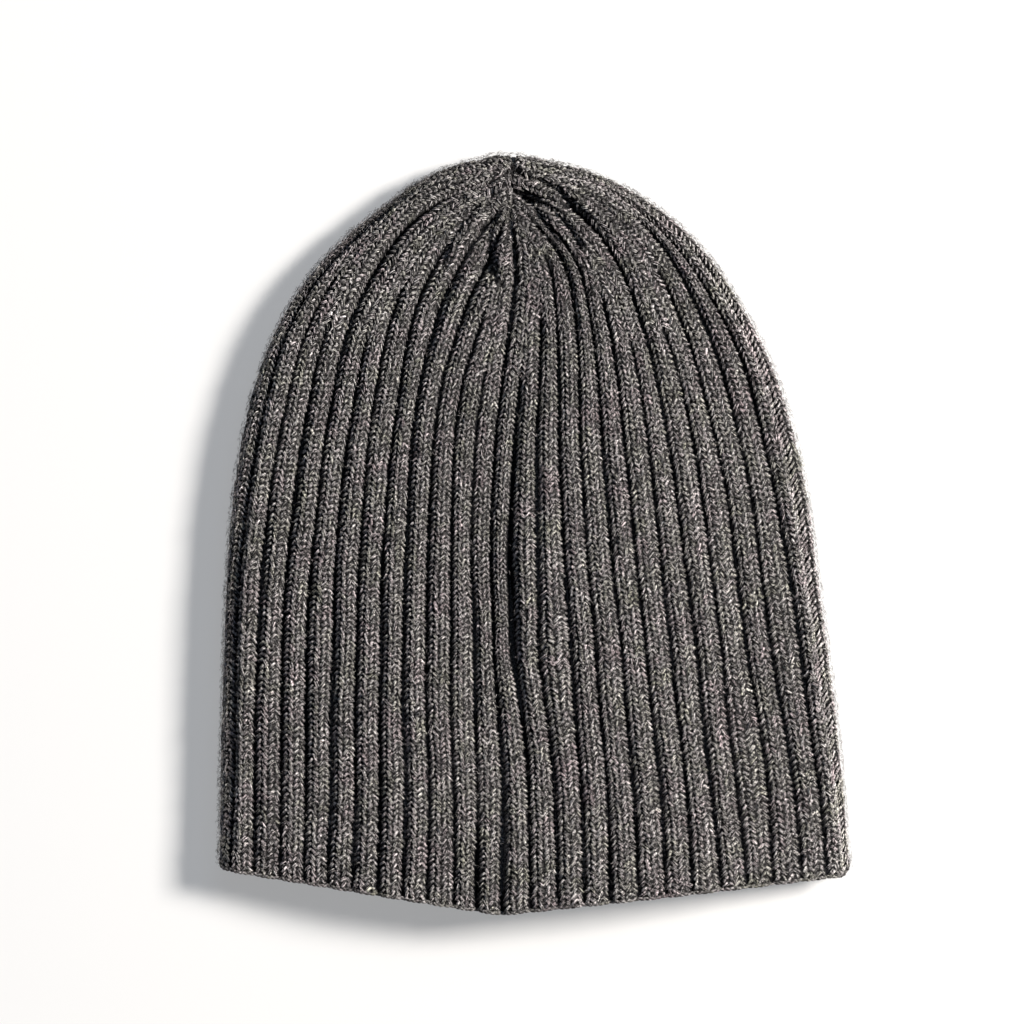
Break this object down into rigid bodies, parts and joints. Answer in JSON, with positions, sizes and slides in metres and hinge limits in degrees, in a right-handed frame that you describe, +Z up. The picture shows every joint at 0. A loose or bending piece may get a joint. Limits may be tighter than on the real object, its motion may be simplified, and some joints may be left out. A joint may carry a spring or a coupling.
{
  "type": "ribbed beanie",
  "caption": "Ribbed knit beanie in charcoal melange wool, lying flat with its back seam up, open at the hem and gathered at the crown.",
  "frame": {"origin": "on the table under the middle of the lying hat's box", "axes": "+Z up from the table, +Y from the hem towards the crown, +X to the right seen from above with the crown away"},
  "size_m": [0.2122, 0.2542, 0.024],
  "materials": {
    "knit": "matte wool rib knit, charcoal melange",
    "seam_yarn": "matte wool yarn, charcoal"
  },
  "bodies": {
    "root": {"knit_body": "knit", "back_seam": "seam_yarn"}
  },
  "joints": []
}
